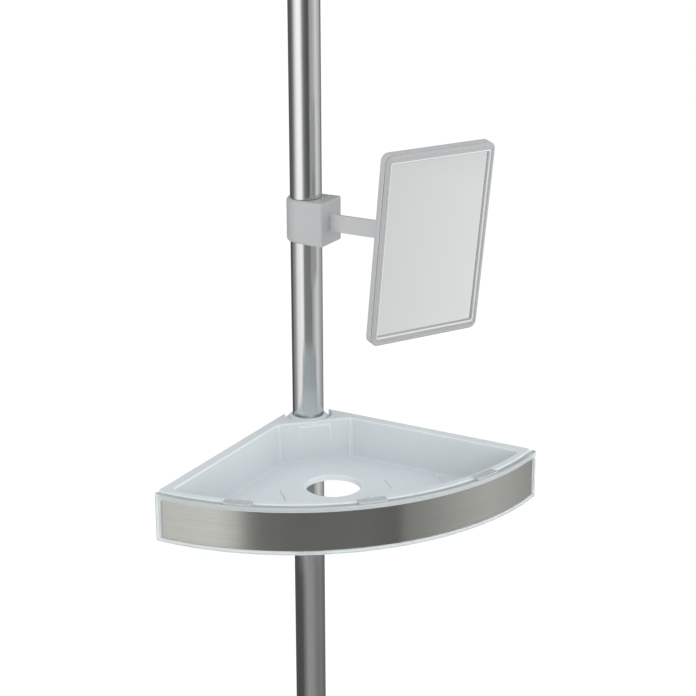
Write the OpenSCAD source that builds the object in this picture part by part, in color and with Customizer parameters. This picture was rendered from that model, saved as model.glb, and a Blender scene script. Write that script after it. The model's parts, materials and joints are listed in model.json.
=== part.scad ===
// Corner shower caddy on a spring-braced telescopic pole: one quarter-round tray and one swivel mirror.
// Millimetres, +Z up, origin at the centre of the foot pad's underside, tray facing -Y.

/* [Pole] */
// Outer diameter of the main tube
pole_d = 25; // [22:0.5:28]
// Wall thickness of both tubes
tube_wall = 1; // [0.8:0.1:1.2]
// Height of the main tube's top end above the ground
tube_top = 1170; // [1160:10:1300]
// Height of the extension tube's lower end at rest
inner_low = 300; // [200:10:400]
// Height of the extension tube's upper end at rest
inner_top = 1490; // [1480:10:1700]
// Diameter of the rubber pads at both ends
pad_d = 58; // [50:1:70]

/* [Tray] */
// Height of the tray's rim above the ground
rim_z = 650; // [400:10:680]
// Distance of the two side walls' meeting point behind the pole axis
apex_back = 23.9; // [23.5:0.1:25]
// Radius of the tray body's round front, about that meeting point
tray_r = 207; // [180:1:230]
// Height of the tray body
tray_h = 37.5; // [34:0.5:45]
// Width of the flat rim along the side walls
side_rim = 9.1; // [8:0.1:11]
// Width of the flat rim along the front
front_rim = 6.5; // [5.5:0.1:8]
// Height of the steel band on the front
band_h = 30.3; // [26:0.1:31]
// Radius of the round hole in the tray floor
hole_r = 21.5; // [15:0.5:24]
// Distance of that hole in front of the pole axis
hole_front = 76; // [65:1:90]

/* [Mirror] */
// Height of the arm above the tray rim
arm_above_rim = 162.5; // [150:0.5:200]
// Direction of the arm in plan, from +X towards -Y
arm_angle = 45.4; // [30:0.1:60]
// Distance from the pole axis to the mirror's pan pin
arm_reach = 95.8; // [85:0.1:120]
// Width of the mirror over its frame
mirror_w = 95.5; // [90:0.5:110]
// Height of the mirror over its frame
mirror_h = 152.5; // [140:0.5:170]
// Direction that the mirror faces in plan, from -Y towards +X
mirror_yaw = 15.3; // [0:0.1:30]
// Forward lean of the mirror's top
mirror_lean = 8.2; // [0:0.1:15]

/* [Hidden] */
$fn = 64;
eps = 0.01;
far = 400;

// Pole
pole_r = pole_d / 2;
bore_r = pole_r - tube_wall;
inner_r = bore_r - 0.5;
inner_bore_r = inner_r - tube_wall;
running = 0.05;
sliding = 0.08;
gap = 0.3;
pad_r = pad_d / 2;
pad_t = 5;
sole_grooves = [12, 17, 22];
sole_groove_w = 2;
cup_flange_r = pad_r - 3;
socket_floor = 6;
foot_socket_h = 31;
tube_low = pad_t + socket_floor;
plug_h = 24;

// Foot and ceiling screws
screw_r = 2.5;
screw_hole_r = screw_r + 0.1;
screw_head_r = 4.6;
screw_head_h = 2.6;
screw_recess = 3;
screw_recess_r = screw_head_r + 0.4;
screw_len = 20;
hex_r = 2;
hex_depth = 1.6;

// Twist lock
lock_low = tube_top - 20;
lock_flange_r = 16.5;
lock_flange_top = tube_top + 1.7;
thread_r = 14.2;
thread_top = tube_top + 35;
lock_seat_r = bore_r + 1.35;
collet_slot = 2;
nut_low = lock_flange_top + gap;
nut_top = thread_top + 7;
nut_r = 17;
nut_shoulder_h = 4;
nut_shoulder_w = 2.5;
nut_flutes = 14;
flute_r = 2.2;
flute_out = 1.2;
flute_low = 5;
flute_high = 7;

// Spring end
guide_bore_r = 6;
guide_flange_h = 8;
guide_plug_h = 20;
seat_low = inner_top - 155;
seat_top = seat_low + 10;
seat_nose_r = 5;
seat_nose_h = 6;
spring_low = seat_top;
spring_high = inner_top - 20;
coil_r = inner_bore_r - 1.9;
wire_r = 0.75;
coil_turns = 11;
coil_steps = 14;
piston_h = 8;
piston_gap = 0.2;
plunger_r = 8;
plunger_bore_depth = 14;
bush_h = 11.7;
bush_flange_h = 3;
cap_low = inner_top + 34;
cap_socket_h = 14;
cap_h = 28;
cap_wall = 4;
cap_top = cap_low + cap_h;

// Tray
wall_t = 2.2;
floor_top = rim_z - 32.5;
floor_t = 2.3;
tray_low = rim_z - tray_h;
draft = 3.4;
back_panel = 19.2;
hub_r = 18;
hub_foot_r = 22.5;
hub_edge_z = rim_z - 4.2;
hub_peak_z = rim_z;
hub_mouth_r = pole_r + 0.25;
hub_groove_r = 19.2;
hub_groove_z = rim_z - 7;
grip_r = 14.9;
grip_split = 0.2;
grip_drop = 0.2;
hub_bore_r = grip_r + sliding;
hub_bore_top = rim_z - 7;
flange_r = 17.5;
flange_t = 2.4;
wall_end_y = apex_back / 2;
hole_collar = 1.8;
rib_row_front = 25;
rib_pitch = 21;
rib_len = 18;
rib_w = 1.2;
rib_h = 0.8;

// Front strip
carrier_in = tray_r + 0.1;
carrier_out = tray_r + 4.6;
carrier_top = rim_z - 0.8;
carrier_low = rim_z - 38;
band_top = rim_z - 4.6;
band_out = carrier_out - 1;
band_t = 0.8;
end_cap_deg = 1.4;
hook_deg = 27;
hook_half_deg = 3;
hook_h = 0.9;
hook_in = tray_r - 3.5;

// Mirror clamp and arm
arm_z = rim_z + arm_above_rim;
clamp_low = rim_z + 145.9;
clamp_high = rim_z + 180.5;
liner_r = pole_r + 1;
clamp_r = pole_r + 2.75;
block_half = 15;
block_len = 23;
slit_w = 1.5;
slit_at = 11;
arm_t = 4;
arm_h = 13.7;
tenon_start = pole_r + 3;
barrel_r = 4.2;
barrel_h = 7;
neck_len = 5.6;
arm_screw_r = 1.4;
arm_screw_at = 19;
arm_screw_head_r = 2.6;
arm_screw_head_h = 2.4;
screw_rest = 0.6;

// Knuckle and mirror, measured from the pan pin and the tilt pin
fork_r = 5;
fork_w = 8;
fork_z = barrel_h / 2 + gap;
fork_h = arm_h / 2 - 0.05;
tilt_front = 11;
tongue_r = 3.2;
web_back = 4.6;
web_front = 7.8;
pan_pin_r = 1.75;
tilt_pin_r = 1.5;
pin_head_r = 2.8;
tilt_head_r = 2.5;
pin_head_h = 0.8;
back_y = -5.5;
bracket_t = 2;
bracket_w = 26;
bracket_h = 30;
bracket_corner = 3;
ear_in = fork_w / 2 + gap;
ear_out = ear_in + 2.5;
ear_r = 3.8;
bracket_screw_x = 9.8;
bracket_screw_z = 11;
bracket_hole_r = 1.5;
bracket_screw_r = 1.3;
bracket_head_r = 2.5;
bracket_head_h = 1.5;
back_depth = 7;
back_wall = 2;
bezel_front_y = back_y - 9.5;
bezel_back_y = bezel_front_y + 2.1;
pad_y = back_y - back_wall - 3;
glass_t = 2.5;
frame_corner = 6;
glass_corner = 2;
glass_border = 4.2;
glass_w = mirror_w - 2 * glass_border;
glass_h = mirror_h - 2 * glass_border;
glass_play = 0.4;
pad_play = 1;
bezel_skirt = 4.2;
window_border = 5.4;
window_extra_h = 4.5;

// Flat outlines
module rounded_box(w, h, r) {
  square([w - 2 * r, h], center = true);
  square([w, h - 2 * r], center = true);
  for (x = [-1, 1], y = [-1, 1]) translate([x * (w / 2 - r), y * (h / 2 - r)]) circle(r);
}

module wedge(inset) {
  tip = apex_back - inset * sqrt(2);
  polygon([[0, tip], [far, tip - far], [-far, tip - far]]);
}

module sector(inset, r) {
  intersection() {
    wedge(inset);
    translate([0, apex_back]) circle(r, $fn = 180);
  }
}

module arc_slice(half_deg, centre_deg = 0) {
  a = centre_deg - half_deg;
  b = centre_deg + half_deg;
  translate([0, apex_back])
    polygon([[0, 0], far * [sin(a), -cos(a)], far * [sin(b), -cos(b)]]);
}

module front_ring(r_in, r_out) {
  translate([0, apex_back]) difference() {
    circle(r_out, $fn = 180);
    circle(r_in, $fn = 180);
  }
}

module slab(z_low, z_high) {
  translate([0, 0, z_low]) linear_extrude(z_high - z_low) children();
}

module tube(r_out, r_in, z_low, z_high) {
  slab(z_low, z_high) difference() {
    circle(r_out);
    circle(r_in);
  }
}

// Places its children in the clamp's frame: +X along the arm, origin on the pole axis
module along_arm() {
  rotate([0, 0, -arm_angle]) children();
}

// Places its children at the pan pin: -Y towards the way that the mirror faces
module at_pan_pin() {
  along_arm() translate([arm_reach, 0, arm_z]) rotate([0, 0, arm_angle + mirror_yaw]) children();
}

module at_tilt_pin() {
  at_pan_pin() translate([0, -tilt_front, 0]) rotate([mirror_lean, 0, 0]) children();
}

// A plate in the mirror's frame, from y_front to y_back
module mirror_plate(y_front, y_back) {
  translate([0, y_back, 0]) rotate([90, 0, 0]) linear_extrude(y_back - y_front) children();
}

// Foot
module pad_section() {
  difference() {
    polygon([[screw_hole_r, 0], [pad_r, 0], [pad_r, pad_t - 1], [pad_r - 1, pad_t], [screw_hole_r, pad_t]]);
    translate([0, -eps]) square([screw_recess_r, screw_recess + eps]);
    for (r = sole_grooves) translate([r, -eps]) square([sole_groove_w, 1 + eps]);
  }
}

module end_screw() {
  translate([0, 0, screw_recess - screw_head_h]) difference() {
    cylinder(r = screw_head_r, h = screw_head_h);
    translate([0, 0, -eps]) cylinder(r = hex_r, h = hex_depth, $fn = 6);
  }
  translate([0, 0, screw_recess - eps]) cylinder(r = screw_r, h = screw_len);
}

module end_cup(tube_r, neck_r, height, socket_h) {
  rotate_extrude() polygon([
    [screw_hole_r, 0], [cup_flange_r, 0], [cup_flange_r, 3], [cup_flange_r - 2, 5],
    [neck_r + 4, height * 0.45], [neck_r, height * 0.7], [neck_r, height - 1], [neck_r - 1, height],
    [tube_r, height], [tube_r, height - socket_h], [screw_hole_r, height - socket_h]
  ]);
}

module foot_pad() {
  color("dimgray") rotate_extrude() pad_section();
}

module foot_screw() {
  color("silver") end_screw();
}

module foot_cup() {
  color("gainsboro") translate([0, 0, pad_t])
    end_cup(pole_r, pole_r + 3, socket_floor + foot_socket_h, foot_socket_h);
}

module foot_plug() {
  color("white") tube(bore_r, screw_r, tube_low, tube_low + plug_h);
}

module outer_tube() {
  color("silver") tube(pole_r, bore_r, tube_low, tube_top);
}

// Twist lock between the two tubes
module lock_body() {
  color("gainsboro") rotate_extrude() polygon([
    [pole_r, lock_low], [lock_flange_r - 1, lock_low], [lock_flange_r, lock_low + 1],
    [lock_flange_r, lock_flange_top], [thread_r, lock_flange_top], [thread_r, thread_top],
    [lock_seat_r, thread_top], [lock_seat_r, tube_top + 1], [bore_r, tube_top + 1],
    [bore_r, tube_top], [pole_r, tube_top]
  ]);
}

module lock_collet() {
  color("white") difference() {
    tube(lock_seat_r, inner_r + sliding, tube_top + 1, thread_top - 1);
    translate([-collet_slot / 2, 0, tube_top]) cube([collet_slot, far, far]);
  }
}

module lock_nut() {
  color("gainsboro") difference() {
    rotate_extrude() polygon([
      [thread_r + gap, nut_low], [nut_r - 1, nut_low], [nut_r, nut_low + 1],
      [nut_r, nut_top - nut_shoulder_h], [nut_r - nut_shoulder_w, nut_top], [inner_r + gap, nut_top],
      [inner_r + gap, thread_top + gap], [thread_r + gap, thread_top + gap]
    ]);
    for (i = [0 : nut_flutes - 1]) rotate([0, 0, i * 360 / nut_flutes])
      translate([nut_r + flute_out, 0, nut_low + flute_low])
        cylinder(r = flute_r, h = nut_top - flute_high - nut_low - flute_low);
  }
}

// Extension
module inner_tube() {
  color("silver") tube(inner_r, inner_bore_r, inner_low, inner_top);
}

module guide_bush() {
  color("white") {
    tube(bore_r - running, guide_bore_r, inner_low - guide_flange_h, inner_low);
    tube(inner_bore_r, guide_bore_r, inner_low - eps, inner_low + guide_plug_h);
  }
}

module spring_seat() {
  color("white") {
    translate([0, 0, seat_low]) cylinder(r = inner_bore_r, h = seat_top - seat_low);
    translate([0, 0, seat_top - eps]) cylinder(r = seat_nose_r, h = seat_nose_h);
  }
}

function coil_point(i) =
  let (z_low = spring_low + wire_r + 0.1, z_high = spring_high - wire_r - 0.1,
       t = i / (coil_turns * coil_steps), a = 360 * coil_turns * t)
  [coil_r * cos(a), coil_r * sin(a), z_low + (z_high - z_low) * t];

function coil_ring(i, sides) =
  let (a = 360 * i / coil_steps, p = coil_point(i))
  [for (j = [0 : sides - 1]) let (b = 360 * j / sides)
    p + wire_r * [cos(b) * cos(a), cos(b) * sin(a), sin(b)]];

module tension_spring() {
  sides = 6;
  rings = coil_turns * coil_steps + 1;
  points = [for (i = [0 : rings - 1]) each coil_ring(i, sides)];
  skin = [for (i = [0 : rings - 2], j = [0 : sides - 1])
    let (k = (j + 1) % sides)
    [i * sides + j, i * sides + k, (i + 1) * sides + k, (i + 1) * sides + j]];
  first = [for (j = [sides - 1 : -1 : 0]) j];
  last = [for (j = [0 : sides - 1]) (rings - 1) * sides + j];
  color("slategray") polyhedron(points = points, faces = concat([first], skin, [last]));
}

module end_bush() {
  color("white") {
    tube(inner_bore_r, plunger_r + sliding, inner_top - bush_h, inner_top);
    tube(inner_r, plunger_r + sliding, inner_top - eps, inner_top + bush_flange_h);
  }
}

// Spring-loaded ceiling end
module plunger() {
  rod_top = cap_low + cap_socket_h;
  color("lightgray") difference() {
    union() {
      translate([0, 0, spring_high]) cylinder(r = inner_bore_r - piston_gap, h = piston_h);
      translate([0, 0, spring_high]) cylinder(r = plunger_r, h = rod_top - spring_high);
    }
    translate([0, 0, rod_top - plunger_bore_depth]) cylinder(r = screw_r, h = plunger_bore_depth + 1);
  }
}

module ceiling_cup() {
  color("gainsboro") translate([0, 0, cap_top]) mirror([0, 0, 1])
    end_cup(plunger_r, plunger_r + cap_wall, cap_h, cap_socket_h);
}

module ceiling_screw() {
  color("silver") translate([0, 0, cap_top + pad_t]) mirror([0, 0, 1]) end_screw();
}

module ceiling_pad() {
  color("dimgray") translate([0, 0, cap_top + pad_t]) mirror([0, 0, 1]) rotate_extrude() pad_section();
}

// Tray
module tray_grip_half(side) {
  flange_top = tray_low - grip_drop;
  color("white") intersection() {
    difference() {
      union() {
        slab(flange_top - flange_t, flange_top) circle(flange_r);
        slab(flange_top - eps, hub_bore_top - gap) circle(grip_r);
      }
      slab(flange_top - flange_t - 1, rim_z) circle(pole_r + running);
    }
    slab(flange_top - flange_t, rim_z)
      translate([side > 0 ? grip_split : -far - grip_split, -far / 2]) square([far, far]);
  }
}

module tray_collet_left() {
  tray_grip_half(-1);
}

module tray_collet_right() {
  tray_grip_half(1);
}

module tray_plan(inset) {
  intersection() {
    sector(inset, tray_r - inset);
    translate([-far / 2, wall_end_y - far - inset]) square(far);
  }
}

module pocket_plan(shrink) {
  intersection() {
    sector(side_rim + shrink, tray_r - front_rim - shrink);
    translate([-far / 2, -back_panel - shrink - far]) square(far);
  }
}

// Drafted space inside the tray, grown outwards by a shell thickness where asked
module pocket(grow, z_low, z_high) {
  hull() {
    slab(z_high - eps, z_high) pocket_plan(-grow);
    slab(z_low, z_low + eps) pocket_plan(draft - grow);
  }
}

module hub_solid() {
  translate([0, 0, tray_low]) cylinder(r1 = hub_foot_r, r2 = hub_r, h = hub_edge_z - tray_low);
  translate([0, 0, hub_edge_z - eps]) cylinder(r1 = hub_r, r2 = hub_mouth_r, h = hub_peak_z - hub_edge_z);
}

module floor_ribs() {
  for (x = [-1, 0, 1] * rib_pitch) rib(x, -hole_front - rib_row_front);
  for (x = [-4, -2, 2, 4] * rib_pitch) rib(x, -hole_front);
}

module rib(x, y) {
  translate([x - rib_w / 2, y - rib_len, floor_top - eps]) cube([rib_w, rib_len, rib_h + eps]);
}

module tray_shell() {
  difference() {
    slab(tray_low, rim_z) tray_plan(0);
    pocket(0, floor_top, rim_z + eps);
    difference() {
      slab(tray_low - 1, rim_z - wall_t) tray_plan(wall_t);
      pocket(wall_t, floor_top - floor_t, rim_z);
    }
    translate([0, 0, hub_groove_z]) cylinder(r = hub_groove_r, h = far);
  }
}

module tray_body() {
  color("aliceblue") difference() {
    union() {
      tray_shell();
      hub_solid();
      floor_ribs();
      translate([0, -hole_front, tray_low]) cylinder(r = hole_r + hole_collar, h = floor_top - tray_low);
    }
    translate([0, -hole_front, tray_low - 1]) cylinder(r = hole_r, h = far);
    translate([0, 0, tray_low - 1]) cylinder(r = hub_bore_r, h = hub_bore_top - tray_low + 1);
    translate([0, 0, tray_low]) cylinder(r = hub_mouth_r, h = far);
  }
}

module front_carrier() {
  recess_half = 45 - end_cap_deg;
  color("lightcyan") difference() {
    union() {
      slab(carrier_low, carrier_top) intersection() {
        front_ring(carrier_in, carrier_out);
        wedge(0);
      }
      for (a = [-1, 0, 1] * hook_deg) {
        slab(carrier_top - eps, rim_z + hook_h) intersection() {
          front_ring(carrier_in, carrier_out - 0.6);
          arc_slice(hook_half_deg, a);
        }
        slab(rim_z, rim_z + hook_h) intersection() {
          front_ring(hook_in, carrier_in + 1);
          arc_slice(hook_half_deg, a);
        }
      }
    }
    slab(band_top - band_h - 0.1, band_top + 0.1) intersection() {
      front_ring(band_out - band_t, carrier_out + 1);
      arc_slice(recess_half);
    }
  }
}

module steel_band() {
  color("darkgray") slab(band_top - band_h, band_top) intersection() {
    front_ring(band_out - band_t, band_out);
    arc_slice(45 - end_cap_deg - 0.15);
  }
}

// Mirror clamp
module clamp_liner() {
  color("white") difference() {
    tube(liner_r, pole_r + running, clamp_low + 0.5, clamp_high - 0.5);
    along_arm() translate([-far, -0.5, 0]) cube([far, 1, 2 * far + tube_top]);
  }
}

module clamp_body() {
  block_start = 4;
  color("gainsboro") along_arm() difference() {
    slab(clamp_low, clamp_high) union() {
      circle(clamp_r);
      translate([0, -block_half]) square([block_len, 2 * block_half]);
    }
    slab(clamp_low - 1, clamp_high + 1) circle(liner_r + running);
    translate([slit_at, block_start, clamp_low - 1]) cube([slit_w, block_half, far]);
    translate([tenon_start, -arm_t / 2, arm_z - arm_h / 2]) cube([block_len, arm_t, arm_h]);
    translate([arm_screw_at, 0, clamp_low - 1]) {
      cylinder(r = arm_screw_r, h = arm_z + arm_h / 2 + 4 - clamp_low);
      cylinder(r = arm_screw_head_r + 0.2, h = 1 + arm_screw_head_h + screw_rest);
    }
  }
}

module mirror_arm() {
  color("whitesmoke") along_arm() difference() {
    union() {
      translate([tenon_start, -arm_t / 2, arm_z - arm_h / 2])
        cube([arm_reach - neck_len - tenon_start, arm_t, arm_h]);
      translate([arm_reach - neck_len - eps, -arm_t / 2, arm_z - barrel_h / 2])
        cube([neck_len, arm_t, barrel_h]);
      translate([arm_reach, 0, arm_z - barrel_h / 2]) cylinder(r = barrel_r, h = barrel_h);
    }
    translate([arm_reach, 0, arm_z - arm_h]) cylinder(r = pan_pin_r + running, h = 2 * arm_h);
    translate([arm_screw_at, 0, arm_z - arm_h]) cylinder(r = arm_screw_r, h = 2 * arm_h);
  }
}

module arm_screw() {
  color("silver") along_arm() translate([arm_screw_at, 0, clamp_low + screw_rest]) {
    cylinder(r = arm_screw_head_r, h = arm_screw_head_h);
    cylinder(r = arm_screw_r, h = arm_z + arm_h / 2 - clamp_low + arm_screw_head_h);
  }
}

// Pan and tilt knuckle
module knuckle() {
  color("gainsboro") at_pan_pin() difference() {
    union() {
      for (z = [-fork_h, fork_z]) slab(z, z + fork_h - fork_z) {
        circle(fork_r);
        translate([-fork_w / 2, -web_front]) square([fork_w, web_front]);
      }
      translate([-fork_w / 2, -web_front, -fork_h]) cube([fork_w, web_front - web_back, 2 * fork_h]);
      translate([-fork_w / 2, -tilt_front, -tongue_r])
        cube([fork_w, tilt_front - web_front + eps, 2 * tongue_r]);
      translate([-fork_w / 2, -tilt_front, 0]) rotate([0, 90, 0]) cylinder(r = tongue_r, h = fork_w);
    }
    translate([0, 0, -arm_h]) cylinder(r = pan_pin_r, h = 2 * arm_h);
    translate([-fork_w, -tilt_front, 0]) rotate([0, 90, 0])
      cylinder(r = tilt_pin_r + running, h = 2 * fork_w);
  }
}

module pan_pin() {
  color("silver") at_pan_pin() {
    translate([0, 0, -fork_h]) cylinder(r = pan_pin_r, h = 2 * fork_h);
    for (z = [-fork_h - pin_head_h, fork_h]) translate([0, 0, z]) cylinder(r = pin_head_r, h = pin_head_h);
  }
}

module tilt_pin() {
  color("silver") at_tilt_pin() rotate([0, 90, 0]) {
    translate([0, 0, -ear_out]) cylinder(r = tilt_pin_r, h = 2 * ear_out);
    for (x = [-ear_out - pin_head_h, ear_out]) translate([0, 0, x]) cylinder(r = tilt_head_r, h = pin_head_h);
  }
}

module screw_spots() {
  for (x = [-1, 1] * bracket_screw_x, z = [-1, 1] * bracket_screw_z) translate([x, z]) children();
}

module mirror_bracket() {
  color("gainsboro") at_tilt_pin() difference() {
    union() {
      mirror_plate(back_y, back_y + bracket_t) rounded_box(bracket_w, bracket_h, bracket_corner);
      for (x = [-ear_out, ear_in]) {
        translate([x, 0, 0]) rotate([0, 90, 0]) cylinder(r = ear_r, h = ear_out - ear_in);
        translate([x, back_y + 1, -ear_r]) cube([ear_out - ear_in, -back_y - 1, 2 * ear_r]);
      }
    }
    translate([-ear_out - 1, 0, 0]) rotate([0, 90, 0]) cylinder(r = tilt_pin_r, h = 2 * ear_out + 2);
    mirror_plate(back_y - 1, back_y + bracket_t + 1) screw_spots() circle(bracket_hole_r);
  }
}

module bracket_screws() {
  seat_y = back_y + bracket_t;
  color("silver") at_tilt_pin() {
    mirror_plate(back_y - back_wall, seat_y + bracket_head_h) screw_spots() circle(bracket_screw_r);
    mirror_plate(seat_y, seat_y + bracket_head_h) screw_spots() circle(bracket_head_r);
  }
}

// Mirror
module mirror_back() {
  color("silver") at_tilt_pin() difference() {
    mirror_plate(back_y - back_depth, back_y) rounded_box(mirror_w, mirror_h, frame_corner);
    mirror_plate(back_y - back_depth - 1, back_y - back_wall)
      rounded_box(mirror_w - 2 * back_wall, mirror_h - 2 * back_wall, frame_corner - back_wall);
    mirror_plate(back_y - back_depth, back_y + 1) screw_spots() circle(bracket_screw_r);
  }
}

module mirror_pad() {
  color("dimgray") at_tilt_pin() mirror_plate(pad_y, back_y - back_wall)
    rounded_box(glass_w - pad_play, glass_h - pad_play, glass_corner);
}

module mirror_glass() {
  color("lightblue") at_tilt_pin() mirror_plate(pad_y - glass_t, pad_y)
    rounded_box(glass_w, glass_h, glass_corner);
}

module mirror_bezel() {
  window_w = mirror_w - 2 * window_border;
  window_h = mirror_h - 2 * window_border - window_extra_h;
  color("gainsboro") at_tilt_pin() difference() {
    union() {
      mirror_plate(bezel_front_y, bezel_back_y) rounded_box(mirror_w, mirror_h, frame_corner);
      mirror_plate(bezel_back_y - eps, pad_y + 1)
        rounded_box(mirror_w - bezel_skirt, mirror_h - bezel_skirt, frame_corner - back_wall);
    }
    mirror_plate(bezel_front_y - 1, back_y) rounded_box(window_w, window_h, 1);
    mirror_plate(pad_y - glass_t, back_y)
      rounded_box(glass_w + glass_play, glass_h + glass_play, glass_corner);
  }
}

foot_pad();
foot_screw();
foot_cup();
foot_plug();
outer_tube();
lock_body();
lock_collet();
lock_nut();
inner_tube();
guide_bush();
spring_seat();
tension_spring();
end_bush();
plunger();
ceiling_cup();
ceiling_screw();
ceiling_pad();
tray_collet_left();
tray_collet_right();
tray_body();
front_carrier();
steel_band();
clamp_liner();
clamp_body();
mirror_arm();
arm_screw();
knuckle();
pan_pin();
tilt_pin();
mirror_bracket();
bracket_screws();
mirror_back();
mirror_pad();
mirror_glass();
mirror_bezel();
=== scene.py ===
import json
import math
from functools import partial

import bmesh
import bpy
from mathutils import Matrix, Vector


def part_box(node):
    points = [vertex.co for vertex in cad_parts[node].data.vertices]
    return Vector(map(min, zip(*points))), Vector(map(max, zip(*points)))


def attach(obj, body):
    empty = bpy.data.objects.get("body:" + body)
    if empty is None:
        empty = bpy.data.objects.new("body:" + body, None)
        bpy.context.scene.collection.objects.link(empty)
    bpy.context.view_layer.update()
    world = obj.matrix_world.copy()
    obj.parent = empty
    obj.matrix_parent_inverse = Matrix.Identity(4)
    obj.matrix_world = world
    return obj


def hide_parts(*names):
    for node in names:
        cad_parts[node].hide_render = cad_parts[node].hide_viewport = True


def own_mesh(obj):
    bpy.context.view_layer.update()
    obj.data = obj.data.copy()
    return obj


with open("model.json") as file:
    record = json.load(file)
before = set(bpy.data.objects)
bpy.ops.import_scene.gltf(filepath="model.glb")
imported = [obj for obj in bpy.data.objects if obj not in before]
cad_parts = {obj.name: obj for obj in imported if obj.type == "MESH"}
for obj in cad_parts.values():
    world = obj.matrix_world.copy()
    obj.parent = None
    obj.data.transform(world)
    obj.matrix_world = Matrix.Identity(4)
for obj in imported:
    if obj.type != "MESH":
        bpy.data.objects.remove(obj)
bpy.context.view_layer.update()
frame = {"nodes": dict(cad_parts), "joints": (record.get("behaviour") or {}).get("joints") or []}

MM = 0.001
TAU = 2 * math.pi


def mm(*values):
    return tuple(v * MM for v in values)


# Places, from the frame
def joint(name):
    return next(j for j in frame["joints"] if j["name"] == name)


def low(node):
    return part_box(node)[0]


def high(node):
    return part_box(node)[1]


RIM = high("tray_body").z
POLE_R = high("outer_tube").x
PAN = Vector(joint("mirror_pan")["pos_m"])
TILT = Vector(joint("mirror_tilt")["pos_m"])
MIRROR_YAW = math.atan2(joint("mirror_tilt")["axis"][1], joint("mirror_tilt")["axis"][0])
MIRROR_LEAN = math.radians(8.2)
ARM_ANGLE = math.atan2(PAN.y, PAN.x)
AT_ARM = Matrix.Rotation(ARM_ANGLE, 4, "Z") @ Matrix.Translation((0, 0, PAN.z))
TURNED = Matrix.Rotation(MIRROR_YAW, 4, "Z")
AT_PAN = Matrix.Translation(PAN) @ TURNED
AT_TILT = Matrix.Translation(TILT) @ TURNED @ Matrix.Rotation(MIRROR_LEAN, 4, "X")
ABOUT_X = Matrix.Rotation(math.pi / 2, 4, "X")
ABOUT_Y = Matrix.Rotation(math.pi / 2, 4, "Y")

# Camera, where the photo's perspective puts it
CAMERA_AZIMUTH = math.radians(-15.69)
CAMERA_ELEVATION = math.radians(18.96)
CAMERA_ROLL = math.radians(-0.183)
CAMERA_FROM_RIM = Vector((-0.3498, -1.3652, 0.5396))
CAMERA_LENS = 96.2

camera_data = bpy.data.cameras.new("camera")
camera = bpy.data.objects.new("camera", camera_data)
bpy.context.scene.collection.objects.link(camera)
bpy.context.scene.camera = camera
camera_data.lens = CAMERA_LENS
camera_data.sensor_width = 36
camera_data.clip_start = 0.05
camera_data.clip_end = 60
camera.matrix_world = (
    Matrix.Translation(CAMERA_FROM_RIM + Vector((0, 0, RIM)))
    @ Matrix.Rotation(CAMERA_AZIMUTH, 4, "Z")
    @ Matrix.Rotation(math.pi / 2 - CAMERA_ELEVATION, 4, "X")
    @ Matrix.Rotation(CAMERA_ROLL, 4, "Z")
)


# Mesh tools
def shade(bm, sharp):
    """Smooth faces, with the edges that turn by more than sharp degrees kept sharp."""
    for face in bm.faces:
        face.smooth = True
    for edge in bm.edges:
        if len(edge.link_faces) == 2:
            edge.smooth = edge.calc_face_angle(0) < math.radians(sharp)


def link_mesh(name, bm, material, sharp=40):
    bmesh.ops.recalc_face_normals(bm, faces=bm.faces)
    shade(bm, sharp)
    mesh = bpy.data.meshes.new(name)
    bm.to_mesh(mesh)
    bm.free()
    obj = bpy.data.objects.new(name, mesh)
    bpy.context.scene.collection.objects.link(obj)
    mesh.materials.append(material)
    return obj


def stands_for(obj, body, slot, *nodes):
    """The finished piece rides on its body and takes the place of CAD nodes."""
    weighted = obj.modifiers.new("even_faces", "WEIGHTED_NORMAL")
    weighted.keep_sharp = True
    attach(obj, body)
    if nodes:
        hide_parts(*nodes)
    return obj


def fillet(corners, radius, steps=4, closed=True):
    """A 2-D outline with its corners rounded. A corner may carry its own radius as a third number."""
    out = []
    n = len(corners)
    for i, corner in enumerate(corners):
        p = Vector(corner[:2])
        r = corner[2] if len(corner) > 2 else radius
        if r <= 0 or (not closed and i in (0, n - 1)):
            out.append(p)
            continue
        a, b = Vector(corners[i - 1][:2]) - p, Vector(corners[(i + 1) % n][:2]) - p
        turn = a.angle(b)
        cut = min(r / max(math.tan(turn / 2), 1e-6), a.length * 0.48, b.length * 0.48)
        start, end = p + a.normalized() * cut, p + b.normalized() * cut
        for k in range(steps + 1):
            t = k / steps
            out.append(start * (1 - t) ** 2 + p * (2 * t * (1 - t)) + end * t ** 2)
    return out


def arc(centre, r, start, end, steps):
    """Points along an arc, angles in degrees."""
    found = []
    for k in range(steps + 1):
        a = math.radians(start + (end - start) * k / steps)
        found.append(Vector((centre[0] + r * math.cos(a), centre[1] + r * math.sin(a))))
    return found


def circle(r, z, count):
    return [(r * math.cos(TAU * k / count), r * math.sin(TAU * k / count), z) for k in range(count)]


def quarter(steps):
    """Angles over a quarter turn, for rounding an edge."""
    return [k / steps * math.pi / 2 for k in range(steps + 1)]


def level(outline, z):
    return [(p.x, p.y, z) for p in outline]


def skin(name, loops, material, at=Matrix.Identity(4), ring=False, sharp=40):
    """A closed surface through loops of equally many points, in a ring or as a stack with capped ends."""
    bm = bmesh.new()
    rows = [[bm.verts.new(at @ Vector(p)) for p in loop] for loop in loops]
    pairs = list(zip(rows, rows[1:]))
    if ring:
        pairs.append((rows[-1], rows[0]))
    for a, b in pairs:
        for k in range(len(a)):
            j = (k + 1) % len(a)
            bm.faces.new((a[k], a[j], b[j], b[k]))
    if not ring:
        bm.faces.new(rows[0][::-1])
        bm.faces.new(rows[-1])
    bmesh.ops.remove_doubles(bm, verts=bm.verts, dist=1e-6)
    return link_mesh(name, bm, material, sharp)


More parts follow.
